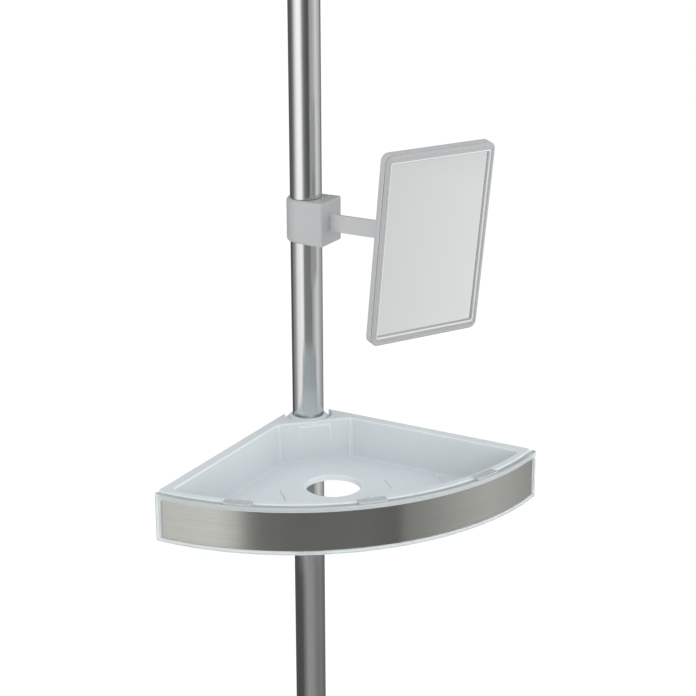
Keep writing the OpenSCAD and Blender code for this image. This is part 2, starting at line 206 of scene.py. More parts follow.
def lathe(name, profile, material, at=Matrix.Identity(4), segments=96, sharp=40):
    """A closed (radius, height) outline turned about Z."""
    loops = []
    for k in range(segments):
        a = TAU * k / segments
        loops.append([(p[0] * math.cos(a), p[0] * math.sin(a), p[1]) for p in profile])
    return skin(name, loops, material, at, ring=True, sharp=sharp)


def edge_loops(outline, bottom, top, edge, steps=4):
    """Loops up a prism whose top and bottom edges are rounded. edge is one radius or one for each point."""
    if not edge:
        return [level(outline, z) for z in (bottom, top)]
    n = len(outline)
    radii = edge if isinstance(edge, (list, tuple)) else [edge] * n
    area = sum(outline[i - 1].x * outline[i].y - outline[i].x * outline[i - 1].y for i in range(n))
    side = 1 if area > 0 else -1
    inward = []
    for i in range(n):
        along = (outline[(i + 1) % n] - outline[i - 1]).normalized()
        inward.append(Vector((-along.y, along.x)) * side)
    loops = []
    for end in (-1, 1):
        for t in quarter(steps)[::-end]:
            loop = []
            for p, n_in, r in zip(outline, inward, radii):
                q = p + n_in * r * (1 - math.sin(t))
                z = bottom + r * (1 - math.cos(t)) if end < 0 else top - r * (1 - math.cos(t))
                loop.append((q.x, q.y, z))
            loops.append(loop)
    return loops


def spindle(name, profile, material, at=Matrix.Identity(4), segments=64, sharp=40):
    """A solid turned about Z from an open line of (radius, height) points; both ends are flat."""
    return skin(name, [circle(r, z, segments) for r, z in profile], material, at, sharp=sharp)


def prism(name, outline, bottom, top, edge, material, at=Matrix.Identity(4), steps=4):
    return skin(name, edge_loops(outline, bottom, top, edge, steps), material, at)


def settle(obj):
    """Replaces the object's mesh by what its modifiers make of it."""
    depsgraph = bpy.context.evaluated_depsgraph_get()
    mesh = bpy.data.meshes.new_from_object(obj.evaluated_get(depsgraph))
    obj.modifiers.clear()
    obj.data = mesh
    return obj


def combine(obj, other, how):
    modifier = obj.modifiers.new("cut", "BOOLEAN")
    modifier.operation = how
    modifier.solver = "MANIFOLD"
    modifier.object = other
    bpy.context.view_layer.update()
    settle(obj)
    bm = bmesh.new()
    bm.from_mesh(obj.data)
    bmesh.ops.triangulate(bm, faces=[f for f in bm.faces if len(f.verts) > 4])
    bm.to_mesh(obj.data)
    bm.free()
    bpy.data.objects.remove(other)
    return obj


def fuse(obj, other):
    return combine(obj, other, "UNION")


def carve(obj, other):
    return combine(obj, other, "DIFFERENCE")


def soften(obj, width, angle=50, segments=2, sharp=40):
    """Rounds the sharp edges that the cuts left."""
    modifier = obj.modifiers.new("soften", "BEVEL")
    modifier.width = width
    modifier.segments = segments
    modifier.limit_method = "ANGLE"
    modifier.angle_limit = math.radians(angle)
    modifier.use_clamp_overlap = True
    modifier.harden_normals = False
    settle(obj)
    bm = bmesh.new()
    bm.from_mesh(obj.data)
    shade(bm, sharp)
    bm.to_mesh(obj.data)
    bm.free()
    return obj


def box_piece(name, corner, size, material, at=Matrix.Identity(4), edge=0.0):
    x, y, z = corner
    w, d, h = size
    outline = [Vector(p) for p in ((x, y), (x + w, y), (x + w, y + d), (x, y + d))]
    if edge:
        outline = fillet([tuple(p) for p in outline], edge, 3)
    return prism(name, outline, z, z + h, edge, material, at, 3 if edge else 1)


def rod(name, r, bottom, top, material, at=Matrix.Identity(4), edge=0.0, segments=48):
    outline = arc((0, 0), r, 0, 360 * (1 - 1 / segments), segments - 1)
    return prism(name, outline, bottom, top, edge, material, at, 3 if edge else 1)


def tools(material, at):
    """box_piece and rod with their material and place filled in."""
    return partial(box_piece, material=material, at=at), partial(rod, material=material, at=at)


def ring_groove(r, z, half):
    """Profile of a shallow V groove round a turned piece."""
    return [(r, z, 0.2 * MM), (r - 0.5 * MM, z + half, 0.2 * MM), (r, z + 2 * half, 0.2 * MM)]


def join(first, *others):
    """Several closed solids as one piece."""
    bm = bmesh.new()
    for obj in (first, *others):
        bm.from_mesh(obj.data)
    bm.to_mesh(first.data)
    bm.free()
    for obj in others:
        bpy.data.objects.remove(obj)
    return first


def add_uv(obj, where):
    """UVs in metres, from a function of a point. A face across the seam keeps its corners together."""
    layer = obj.data.uv_layers.new(name="metres")
    for polygon in obj.data.polygons:
        found = [where(obj.data.vertices[obj.data.loops[i].vertex_index].co) for i in polygon.loop_indices]
        for i, (u, v, turn) in zip(polygon.loop_indices, found):
            if turn and u - found[0][0] > turn / 2:
                u -= turn
            elif turn and found[0][0] - u > turn / 2:
                u += turn
            layer.data[i].uv = (u, v)


# Material tools
class Shader:
    """A Principled material with a few helpers for procedural detail."""

    def __init__(self, name, color, roughness, metallic=0.0, **sockets):
        self.material = bpy.data.materials.new(name)
        self.material.use_nodes = True
        self.nodes = self.material.node_tree.nodes
        self.links = self.material.node_tree.links
        self.main = self.nodes["Principled BSDF"]
        self.main.inputs["Base Color"].default_value = (*color, 1)
        self.main.inputs["Roughness"].default_value = roughness
        self.main.inputs["Metallic"].default_value = metallic
        for key, value in sockets.items():
            self.main.inputs[key.replace("_", " ")].default_value = value
        self.coord = self.nodes.new("ShaderNodeTexCoord")
        self.last_normal = None

    def noise(self, scale, stretch=(1, 1, 1), detail=3.0, rough=0.55, source="Object"):
        mapping = self.nodes.new("ShaderNodeMapping")
        mapping.inputs["Scale"].default_value = stretch
        self.links.new(self.coord.outputs[source], mapping.inputs["Vector"])
        node = self.nodes.new("ShaderNodeTexNoise")
        node.inputs["Scale"].default_value = scale
        node.inputs["Detail"].default_value = detail
        node.inputs["Roughness"].default_value = rough
        self.links.new(mapping.outputs["Vector"], node.inputs["Vector"])
        return node.outputs["Fac"]

    def ranged(self, value, low_out, high_out, low_in=0.3, high_in=0.7):
        node = self.nodes.new("ShaderNodeMapRange")
        node.inputs["From Min"].default_value = low_in
        node.inputs["From Max"].default_value = high_in
        node.inputs["To Min"].default_value = low_out
        node.inputs["To Max"].default_value = high_out
        self.links.new(value, node.inputs["Value"])
        return node.outputs["Result"]

    def mixed(self, factor, first, second):
        node = self.nodes.new("ShaderNodeMix")
        node.data_type = "RGBA"
        for name, value in (("A", first), ("B", second)):
            if isinstance(value, tuple):
                node.inputs[name].default_value = (*value, 1)
            else:
                self.links.new(value, node.inputs[name])
        self.links.new(factor, node.inputs["Factor"])
        return node.outputs["Result"]

    def math(self, operation, first, second):
        node = self.nodes.new("ShaderNodeMath")
        node.operation = operation
        for socket, value in zip(node.inputs, (first, second)):
            if isinstance(value, (int, float)):
                socket.default_value = value
            else:
                self.links.new(value, socket)
        return node.outputs["Value"]

    def bump(self, height, distance, strength=1.0):
        node = self.nodes.new("ShaderNodeBump")
        node.inputs["Distance"].default_value = distance
        node.inputs["Strength"].default_value = strength
        self.links.new(height, node.inputs["Height"])
        if self.last_normal:
            self.links.new(self.last_normal, node.inputs["Normal"])
        self.last_normal = node.outputs["Normal"]
        self.links.new(self.last_normal, self.main.inputs["Normal"])

    def edges(self, radius, low_in=0.05, high_in=0.5):
        """1 where the surface turns sharply within a radius, 0 where it is flat."""
        bevel = self.nodes.new("ShaderNodeBevel")
        bevel.inputs["Radius"].default_value = radius
        geometry = self.nodes.new("ShaderNodeNewGeometry")
        gap = self.nodes.new("ShaderNodeVectorMath")
        gap.operation = "DISTANCE"
        self.links.new(bevel.outputs["Normal"], gap.inputs[0])
        self.links.new(geometry.outputs["Normal"], gap.inputs[1])
        return self.ranged(gap.outputs["Value"], 0, 1, low_in, high_in)

    def to(self, socket, value):
        self.links.new(value, self.main.inputs[socket])
        return self


def tint(color, share):
    return tuple(min(1, c * share) for c in color)


def moulded(name, color, rough, edge_highlight, mottle=0.025, metallic=0.0, **sockets):
    """Injection-moulded plastic: faint mottle, uneven gloss, fine grain, edges painted lighter as a
    highlight.
    """
    s = Shader(name, color, rough, metallic, **sockets)
    base = s.mixed(s.noise(18, detail=2), tint(color, 1 - mottle), tint(color, 1 + mottle))
    # Painted highlight: the edges are lightened towards the given highlight colour, broken up by noise.
    highlight_mask = s.math("MULTIPLY", s.edges(0.0004, 0.1, 0.6), s.ranged(s.noise(90, detail=3), 0.7, 1))
    s.to("Base Color", s.mixed(highlight_mask, base, edge_highlight))
    s.to("Roughness", s.ranged(s.noise(55, detail=4), rough - 0.04, rough + 0.05))
    s.bump(s.noise(2600, detail=2), 0.000006)
    s.bump(s.noise(24, detail=1), 0.00002)
    return s.material


def brushed(name, color, rough, along, across, source="UV", groove=0.000006, contrast=0.10, **sockets):
    """Metal with scratches along one way of its UVs or of its own axes."""
    s = Shader(name, color, rough, 1.0, **sockets)
    fine = s.noise(1.0, (along, across, along), 3, 0.6, source)
    broad = s.noise(1.0, (along * 0.4, across * 0.14, along * 0.4), 2, 0.5, source)
    s.to("Base Color", s.mixed(s.ranged(fine, 0, 1), tint(color, 1 - contrast), tint(color, 1 + contrast)))
    s.to("Roughness", s.ranged(broad, rough - 0.05, rough + 0.07))
    s.bump(fine, groove)
    return s.material


def polished(name, color, rough, source="UV", **sockets):
    """Polished tube: soft lengthwise draw marks and small smudges."""
    s = Shader(name, color, rough, 1.0, **sockets)
    draw = s.noise(1.0, (900, 1.5, 900), 2, 0.5, source)
    smudge = s.noise(26, detail=4)
    s.to("Base Color", s.mixed(s.ranged(draw, 0, 1), tint(color, 0.95), color))
    s.to("Roughness", s.ranged(smudge, rough - 0.03, rough + 0.05))
    s.bump(draw, 0.0000015)
    return s.material


def rubber(name, color):
    s = Shader(name, color, 0.78)
    s.to("Base Color", s.mixed(s.noise(40, detail=3), color, tint(color, 1.5)))
    s.bump(s.noise(1400, detail=3), 0.00008)
    return s.material


def frosted(name):
    """Frosted translucent plastic, with its edges painted lighter as a highlight."""
    s = Shader(name, FROST, 0.3, Subsurface_Weight=0.45, Subsurface_Scale=0.004, IOR=1.47)
    s.main.inputs["Subsurface Radius"].default_value = (0.95, 1.0, 1.05)
    base = s.mixed(s.noise(9, detail=2), tint(FROST, 0.97), tint(FROST, 1.03))
    # Painted highlight: the edges are lightened to a paler colour.
    s.to("Base Color", s.mixed(s.edges(0.0009), base, FROST_HIGHLIGHT))
    s.to("Roughness", s.ranged(s.noise(40, detail=2), 0.3, 0.4, 0.1, 0.9))
    s.bump(s.noise(1500, detail=2), 0.000008)
    s.bump(s.noise(14, detail=1), 0.00008)
    return s.material


def painted_rim_shade(name):
    """The tray's outer top edge, painted darker as shade where the translucent plastic bends the light away.
    """
    s = Shader(name, RIM_SHADE, 0.2, IOR=1.47)
    s.to("Base Color", s.mixed(s.noise(40, detail=3), tint(RIM_SHADE, 0.9), tint(RIM_SHADE, 1.1)))
    s.to("Roughness", s.ranged(s.noise(70, detail=4), 0.16, 0.28))
    s.bump(s.noise(1500, detail=2), 0.000008)
    return s.material


def clear(name):
    """Clear plastic, slightly milky where it is thick, with its edges painted lighter as a highlight."""
    s = Shader(name, MILK, 0.08, Transmission_Weight=0.55, IOR=1.47)
    s.to("Roughness", s.ranged(s.noise(60, detail=3), 0.05, 0.14))
    base = s.mixed(s.noise(20, detail=2), tint(MILK, 0.97), MILK)
    # Painted highlight: the edges are lightened to a near-white colour.
    s.to("Base Color", s.mixed(s.edges(0.0006), base, MILK_HIGHLIGHT))
    s.bump(s.noise(30, detail=2), 0.0001)
    return s.material


def silvered(name):
    s = Shader(name, (0.93, 0.94, 0.94), 0.03, 1.0)
    s.to("Roughness", s.ranged(s.noise(12, detail=4), 0.012, 0.05))
    s.to("Base Color", s.mixed(s.noise(6, detail=3), (0.90, 0.915, 0.915), (0.95, 0.955, 0.955)))
    return s.material


FROST = (0.625, 0.67, 0.69)
# Painted shade: dark colour for the tray's outer top edge.
RIM_SHADE = (0.30, 0.34, 0.345)
# Painted highlight colour for the edges of the frosted plastic.
FROST_HIGHLIGHT = (0.86, 0.89, 0.90)
MILK = (0.80, 0.85, 0.86)
# Painted highlight colour for the edges of the clear plastic.
MILK_HIGHLIGHT = (0.97, 0.98, 0.98)
POLE_STEEL = polished("pole_steel", (0.70, 0.71, 0.705), 0.15)
EXTENSION_STEEL = polished("extension_steel", (0.74, 0.745, 0.75), 0.13)
BAND_STEEL = brushed("band_steel", (0.455, 0.455, 0.425), 0.2, 9, 5200, groove=0.000001, contrast=0.05,
                     Anisotropic=0.8, Anisotropic_Rotation=0.25)
SCREW_STEEL = brushed("screw_steel", (0.66, 0.67, 0.68), 0.3, 240, 240, "Object", 0.00001)
SPRING_STEEL = brushed("spring_steel", (0.40, 0.41, 0.43), 0.34, 300, 300, "Object", 0.00001)
TRAY_PLASTIC = frosted("frosted_plastic")
# Painted shade material for the tray's outer top edge.
TRAY_EDGE_SHADE = painted_rim_shade("frosted_edge_shade")
CLEAR_PLASTIC = clear("clear_plastic")
# The fourth colour of each moulded plastic is its painted edge highlight.
GREY_PLASTIC = moulded("grey_plastic", (0.42, 0.425, 0.43), 0.42, (0.55, 0.555, 0.56))
INNER_PLASTIC = moulded("inner_plastic", (0.72, 0.72, 0.70), 0.5, (0.82, 0.82, 0.80))
CLAMP_PLASTIC = moulded("clamp_plastic", (0.42, 0.425, 0.43), 0.32, (0.60, 0.605, 0.61))
ARM_PLASTIC = moulded("arm_plastic", (0.54, 0.545, 0.555), 0.34, (0.66, 0.665, 0.67))
SHELL_PLASTIC = moulded("mirror_shell", (0.52, 0.525, 0.535), 0.26, (0.66, 0.665, 0.67), metallic=0.1)
FRAME_PLASTIC = moulded("mirror_frame", (0.41, 0.415, 0.425), 0.2, (0.62, 0.625, 0.63), metallic=0.2)
LIP_PLASTIC = moulded("mirror_lip", (0.60, 0.605, 0.61), 0.16, (0.75, 0.755, 0.76))
MIRROR_GLASS = silvered("mirror_glass")
PAD_RUBBER = rubber("pad_rubber", (0.045, 0.045, 0.05))
FOAM = rubber("foam", (0.03, 0.03, 0.033))


# Pole
def tube(name, node, body, slot, material, wall, edge=0.2 * MM):
    bottom, top = low(node).z, high(node).z
    r = high(node).x
    profile = fillet([(r - wall, bottom), (r, bottom), (r, top), (r - wall, top)], edge, 3)
    obj = lathe(name, profile, material, segments=160)
    add_uv(obj, lambda p: (math.atan2(p.x, p.y) * r, p.z, TAU * r))
    return stands_for(obj, body, slot, node)


def end_place(bottom, top, facing_down):
    """The pole's end pieces are drawn sole down; the ceiling's are turned over."""
    if facing_down:
        return Matrix.Translation((0, 0, bottom))
    return Matrix.Translation((0, 0, top)) @ Matrix.Rotation(math.pi, 4, "X")


def pad(name, node, body, facing_down):
    """Round rubber pad with a ribbed sole and a recess for the screw's head."""
    bottom, top = low(node).z, high(node).z
    r, groove = high(node).x, 1 * MM
    sole = [(2.7 * MM, top - bottom, 0), (r, top - bottom, 1.2 * MM), (r, 0, 0.6 * MM)]
    for x in mm(22, 17, 12):
        sole += [(x + 1.1 * MM, 0, 0.2 * MM), (x + 0.9 * MM, groove, 0.3 * MM),
                 (x - 0.9 * MM, groove, 0.3 * MM), (x - 1.1 * MM, 0, 0.2 * MM)]
    sole += [mm(5, 0, 0.3), mm(5, 3, 0), mm(2.7, 3, 0)]
    at = end_place(bottom, top, facing_down)
    obj = lathe(name, fillet(sole, 0.2 * MM, 2), PAD_RUBBER, at, 96)
    return stands_for(obj, body, "pad_rubber", node)


def cup(name, node, body, socket_r, neck_r, socket_h, facing_down):
    """Flared plastic end that carries the pad."""
    bottom, top = low(node).z, high(node).z
    h, r = top - bottom, high(node).x
    profile = [
        (2.7 * MM, 0, 0), (r, 0, 0.5 * MM), (r, 3 * MM, 1 * MM), (r - 3 * MM, 5 * MM, 1.5 * MM),
        (neck_r + 3.5 * MM, h * 0.45, 6 * MM), (neck_r, h * 0.72, 6 * MM), (neck_r, h - 2.6 * MM, 0.3 * MM),
        (neck_r - 0.5 * MM, h - 2.2 * MM, 0.2 * MM), (neck_r, h - 1.8 * MM, 0.3 * MM), (neck_r, h, 0.8 * MM),
        (socket_r, h, 0.3 * MM), (socket_r, h - socket_h, 0), (2.7 * MM, h - socket_h, 0),
    ]
    at = end_place(bottom, top, facing_down)
    obj = lathe(name, fillet(profile, 0, 5), GREY_PLASTIC, at, 112)
    return stands_for(obj, body, "grey_plastic", node)


def lock_sleeve():
    bottom, top = low("lock_body").z, high("lock_body").z
    flange_r, flange_top = high("lock_body").x, low("lock_nut").z - 0.3 * MM
    tube_top = high("outer_tube").z
    thread_r, thread_depth, pitch = 14.2 * MM, 0.5 * MM, 2.4 * MM
    profile = [(POLE_R, bottom, 0), (flange_r, bottom, 1 * MM)]
    for k in range(3):
        profile += ring_groove(flange_r, bottom + (5 + 3 * k) * MM, 0.5 * MM)
    profile += [(flange_r, flange_top, 0.6 * MM), (thread_r, flange_top, 0)]
    z = flange_top + 2 * MM
    while z < top - 2 * pitch:
        profile += [(thread_r, z, 0), (thread_r - thread_depth, z + pitch / 3, 0),
                    (thread_r, z + pitch * 2 / 3, 0)]
        z += pitch
    profile += [(thread_r, top, 0.4 * MM), (12.85 * MM, top, 0.2 * MM), (12.85 * MM, tube_top + 1 * MM, 0),
                (11.5 * MM, tube_top + 1 * MM, 0), (11.5 * MM, tube_top, 0), (POLE_R, tube_top, 0)]
    obj = lathe("lock_sleeve", fillet(profile, 0, 3), GREY_PLASTIC, segments=112)
    stands_for(obj, "pole", "grey_plastic", "lock_body")


def lock_nut():
    """Twist nut with scooped finger flutes between plain end bands."""
    bottom, top = low("lock_nut").z, high("lock_nut").z
    r, flutes, across = high("lock_nut").x, 14, 16
    inner, mouth = 14.5 * MM, 11.3 * MM
    body_h = top - bottom
    levels = list(mm(0, 0.25, 0.6, 1.0, 3.5, 4.4, 5.6, 7.4))
    levels += [body_h - down for down in mm(12, 10.2, 9, 8, 4.4, 3, 1.2, 0.3, 0)]
    loops = []
    count = flutes * across
    for z in levels:
        depth = max(0.0, min(1.0, (z - 3.5 * MM) / (3.9 * MM), (body_h - 8 * MM - z) / (4 * MM)))
        depth = depth * depth * (3 - 2 * depth) * 1.3 * MM
        base = r
        if z < 1 * MM:
            base = r - 0.8 * MM * (1 - z / MM) ** 2
        if z > body_h - 4.4 * MM:
            t = (z - body_h + 4.4 * MM) / (4.4 * MM)
            base = r - 2.6 * MM * t ** 2.2
        loop = []
        for k in range(count):
            a = TAU * k / count
            scoop = max(0.0, math.cos(a * flutes)) ** 1.6
            q = base - depth * scoop
            loop.append((q * math.cos(a), q * math.sin(a), bottom + z))
        loops.append(loop)
    thread_top = high("lock_body").z + 0.3 * MM
    inside = [(mouth + 0.3 * MM, top), (mouth, top - 0.3 * MM), (mouth, thread_top), (inner, thread_top),
              (inner, bottom + 0.3 * MM), (inner + 0.2 * MM, bottom)]
    loops += [circle(rad, z, count) for rad, z in inside]
    obj = skin("twist_nut", loops, GREY_PLASTIC, ring=True, sharp=35)
    stands_for(obj, "lock_nut", "grey_plastic", "lock_nut")


def upper_bush():
    node = "end_bush"
    bottom, top, r = low(node).z, high(node).z, high(node).x
    seat, spigot, bore = top - 3 * MM, 10 * MM, 8.08 * MM
    profile = [(bore, bottom, 0), (spigot, bottom, 0.3 * MM), (spigot, seat, 0), (r, seat, 0.2 * MM),
               (r, top, 0.8 * MM), (bore, top, 0.4 * MM)]
    obj = lathe("extension_bush", fillet(profile, 0, 3), GREY_PLASTIC, segments=96)
    stands_for(obj, "extension", "inner_plastic", node)


def spring_plunger():
    node = "plunger"
    bottom, top = low(node).z, high(node).z
    head_r, rod_r, bore, head_top = high(node).x, 8 * MM, 2.5 * MM, bottom + 8 * MM
    screw_bottom = top - 14 * MM
    profile = [(0.1 * MM, bottom, 0), (head_r, bottom, 0.5 * MM), (head_r, head_top, 0.5 * MM),
               (rod_r, head_top, 0.6 * MM)]
    z = high("end_bush").z + 6 * MM
    while z < low("ceiling_cup").z - 3 * MM:
        profile += ring_groove(rod_r, z, 0.8 * MM)
        z += 8 * MM
    profile += [(rod_r, top, 0.4 * MM), (bore, top, 0), (bore, screw_bottom, 0), (0.1 * MM, screw_bottom, 0)]
    obj = lathe("spring_plunger", fillet(profile, 0, 3), GREY_PLASTIC, segments=96)
    stands_for(obj, "ceiling_end", "grey_plastic", node)


tube("main_tube", "outer_tube", "pole", "pole_steel", POLE_STEEL, 1 * MM)
tube("extension_tube", "inner_tube", "extension", "extension_steel", EXTENSION_STEEL, 1 * MM)
pad("floor_pad", "foot_pad", "pole", True)
pad("top_pad", "ceiling_pad", "ceiling_end", False)
cup("floor_cup", "foot_cup", "pole", POLE_R, POLE_R + 3 * MM, 31 * MM, True)
cup("top_cup", "ceiling_cup", "ceiling_end", 8 * MM, 12 * MM, 14 * MM, False)
lock_sleeve()
lock_nut()
upper_bush()
spring_plunger()

# Tray
APEX = 23.9 * MM
TRAY_R = 207 * MM
TRAY_H = 37.5 * MM
SIDE_RIM = 9.1 * MM
FRONT_RIM = 6.5 * MM
DRAFT = 3.4 * MM
BACK_PANEL = -19.2 * MM
WALL = 2.2 * MM
FLOOR = RIM - 32.5 * MM
HOLE = Vector((0, -76 * MM))
HOLE_R = 21.5 * MM
HALF = math.sqrt(0.5)


def sector_outline(side, front_r, corner, back_y, back_corner, wall_n=26, corner_n=8, front_n=96, back_n=24):
    """Outline of the quarter round, clockwise from the back, with the walls' ends rounded."""
    tip = APEX - side / HALF
    centre_n = side + corner
    centre_t = math.sqrt((front_r - corner) ** 2 - centre_n ** 2)

    def plan(t, n):
        return Vector(((t - n) * HALF, APEX - (t + n) * HALF))

    centre = plan(centre_t, centre_n)
    to_arc = (centre - Vector((0, APEX))).normalized()
    front_half = math.atan2(to_arc.x, -to_arc.y)
    start = Vector((tip - back_y, back_y))
    wall_dir = Vector((HALF, -HALF))
    back_cut = back_corner * math.tan(math.radians(22.5)) if back_corner else 0
    first = start + wall_dir * back_cut
    last = plan(centre_t, side)
    half = []
    for k in range(back_n + 1):
        half.append(Vector(((start.x - back_cut) * k / back_n, back_y)))
    if back_corner:
        middle = Vector((start.x - back_cut, back_y - back_corner))
        for k in range(1, corner_n):
            a = math.radians(90 - 45 * k / corner_n)
            half.append(middle + back_corner * Vector((math.cos(a), math.sin(a))))
    for k in range(wall_n + 1):
        half.append(first.lerp(last, k / wall_n))
    a_wall = math.radians(45)
    a_arc = math.atan2(to_arc.y, to_arc.x)
    for k in range(1, corner_n + 1):
        a = a_wall + (a_arc - a_wall) * k / corner_n
        half.append(centre + corner * Vector((math.cos(a), math.sin(a))))
    for k in range(1, front_n // 2 + 1):
        a = front_half * (1 - 2 * k / front_n)
        half.append(Vector((front_r * math.sin(a), APEX - front_r * math.cos(a))))
    other = [Vector((-p.x, p.y)) for p in half[1:-1]][::-1]
    return half + other


def tray_shell():
    wall_back = APEX / 2
    loops = []

    def outer(inset, z):
        corner = max(4.5 * MM - inset, 1.2 * MM)
        loops.append(level(sector_outline(inset, TRAY_R - inset, corner, wall_back - inset, 3 * MM), z))

    def inner(shift, z, floor_inset=0.0):
        side = SIDE_RIM + shift + floor_inset
        front = TRAY_R - FRONT_RIM - shift - floor_inset
        corner = max(5 * MM - floor_inset * 0.3, 1.5 * MM)
        loops.append(level(sector_outline(side, front, corner, BACK_PANEL - shift - floor_inset, 4 * MM), z))

    def drafted(z):
        return DRAFT * (RIM - z) / (RIM - FLOOR)

    def hole(r, z):
        outline = sector_outline(SIDE_RIM, TRAY_R - FRONT_RIM, 5 * MM, BACK_PANEL, 4 * MM)
        loop = []
        for p in outline:
            d = (p - HOLE).normalized()
            loop.append((HOLE.x + r * d.x, HOLE.y + r * d.y, z))
        loops.append(loop)

    bottom = RIM - TRAY_H
    under = FLOOR - 2.3 * MM
    lip, round_r, foot = 0.9 * MM, 1.1 * MM, 3.0 * MM
    # Hole's edge and the floor
    hole(HOLE_R, FLOOR - lip)
    for t in quarter(3)[1:]:
        hole(HOLE_R + lip * (1 - math.cos(t)), FLOOR - lip * (1 - math.sin(t)))
    hole(HOLE_R + 2.4 * MM, FLOOR)
    # Fillet into the drafted wall
    for t in quarter(4):
        z = FLOOR + foot * (1 - math.cos(t))
        inner(drafted(z), z, foot * (1 - math.sin(t)))
    # Wall and rounded rim
    for t in quarter(4):
        z = RIM - round_r * (1 - math.sin(t))
        inner(drafted(RIM - round_r) - round_r * (1 - math.cos(t)), z)
    for t in quarter(4):
        outer(round_r * (1 - math.sin(t)), RIM - round_r * (1 - math.cos(t)))
    # Outer wall, its foot and the hollow side of the shell
    outer(0, bottom + 0.6 * MM)
    outer(0.6 * MM, bottom)
    outer(WALL - 0.3 * MM, bottom)
    outer(WALL, bottom + 0.3 * MM)
    outer(WALL, RIM - WALL)
    inner(drafted(RIM - WALL) - WALL, RIM - WALL)
    inner(DRAFT - WALL, under + 1.5 * MM)
    inner(DRAFT - WALL, under, 1.5 * MM)
    hole(HOLE_R + 3.2 * MM, under)
    hole(HOLE_R + 1.8 * MM, under - 1 * MM)
    hole(HOLE_R + 1.8 * MM, bottom + 0.4 * MM)
    hole(HOLE_R + 1.4 * MM, bottom)
    hole(HOLE_R + 0.4 * MM, bottom)
    hole(HOLE_R, bottom + 0.4 * MM)
    obj = skin("tray", loops, TRAY_PLASTIC, ring=True, sharp=50)
    # The faces along the tray's outer top edge take the painted dark shade.
    obj.data.materials.append(TRAY_EDGE_SHADE)
    for polygon in obj.data.polygons:
        c = polygon.center
        from_wall = (APEX - abs(c.x) - c.y) * HALF
        if c.z > RIM - 1.3 * round_r and min(from_wall, wall_back - c.y) < 0.8 * round_r:
            polygon.material_index = 1
    return obj


def tray():
    bottom, edge, step = RIM - TRAY_H, RIM - 4.2 * MM, RIM - 7 * MM
    hub_r, grip_r, pole_hole_r = mm(22.5, 14.98, 12.75)
    work, turned = tools(TRAY_PLASTIC, Matrix.Identity(4))
    obj = carve(tray_shell(), turned("groove", 19.2 * MM, step, RIM + 20 * MM, segments=96))
    fuse(obj, lathe("hub", fillet([
        (14.0 * MM, bottom, 0), (hub_r, bottom, 0.5 * MM), (18 * MM, edge, 0.7 * MM),
        (15.6 * MM, RIM - 2.2 * MM, 0.3 * MM), (15.2 * MM, RIM - 1.5 * MM, 0.2 * MM),
        (13.0 * MM, RIM, 0.25 * MM), (12.3 * MM, RIM, 0), (12.3 * MM, RIM - 3 * MM, 0),
    ], 0, 4), TRAY_PLASTIC, segments=96))
    bore = [(grip_r, bottom - 5 * MM), (grip_r, step), (pole_hole_r, step), (pole_hole_r, RIM + 5 * MM)]
    carve(obj, spindle("bore", bore, TRAY_PLASTIC, segments=96))
    # Raised column in front of the hub, and a bead down each back corner
    fuse(obj, work("column", (-13.4 * MM, BACK_PANEL - 1.9 * MM, FLOOR - 3 * MM), mm(26.8, 5, 32.8),
                   edge=1.3 * MM))
    corner_x = APEX - SIDE_RIM / HALF - BACK_PANEL
    height = RIM - FLOOR
    spread = DRAFT * (1 / HALF - 1)
    bead = [mm(2, -0.8), mm(1.8, 2), (1.7 * MM, height - 2 * MM), (1.3 * MM, height - 1.2 * MM),
            (0.5 * MM, height - 0.9 * MM)]
    for side in (-1, 1):
        slant = Matrix(((1, 0, side * spread / height, side * (corner_x - spread)),
                        (0, 1, DRAFT / height, BACK_PANEL - DRAFT), (0, 0, 1, FLOOR), (0, 0, 0, 1)))
        fuse(obj, spindle("bead", bead, TRAY_PLASTIC, slant, 32))
    # Ribs on the floor, in front of the hole and beside it
    spots = [(x, HOLE.y - 25 * MM) for x in mm(-21, 0, 21)] + [(x, HOLE.y) for x in mm(-84, -42, 42, 84)]
    for x, y in spots:
        fuse(obj, work("rib", (x - 0.6 * MM, y - 18 * MM, FLOOR - 1 * MM), mm(1.2, 18, 1.8), edge=0.4 * MM))
    soften(obj, 0.25 * MM, 60, 2, 45)
    stands_for(obj, "tray", "frosted_plastic", "tray_body")


def arc_sweep(name, sections, material, sharp=40):
    """A solid swept round the tray's apex, through (angle in degrees, (radius, height) outline) sections."""
    loops = []
    for degrees, outline in sections:
        a = math.radians(degrees)
        loops.append([(p[0] * math.sin(a), APEX - p[0] * math.cos(a), p[1]) for p in outline])
    return skin(name, loops, material, sharp=sharp)


def arc_bar(name, r_in, r_out, bottom, top, half_deg, edge, material, centre_deg=0, steps=12, roll=0.0):
    """A curved bar with rounded edges. roll: radius over which its ends turn in, if larger than the edge."""
    end_r = max(edge, roll)
    ends = []
    for t in quarter(4):
        ends.append((half_deg - math.degrees(end_r / r_out) * (1 - math.sin(t)), 1 - math.cos(t)))
    middle = [(half_deg * k / steps, 0) for k in range(-steps + 1, steps)]
    sections = [(-d, turn) for d, turn in ends[::-1]] + middle + ends
    made = []
    for degrees, turn in sections:
        inset = edge * turn
        inner, outer = r_in + (0 if roll else inset), r_out - end_r * turn
        low_z, high_z = bottom + inset, top - inset
        corners = [(inner, low_z), (outer, low_z), (outer, high_z), (inner, high_z)]
        made.append((centre_deg + degrees, fillet(corners, edge, 3)))
    return arc_sweep(name, made, material)


# Bearings of the strip's hooks, and of the ends of its channel and of the steel, in degrees
HOOKS_AT = (-27, 0, 27)
CHANNEL_END = 43.6
STEEL_END = 43.3


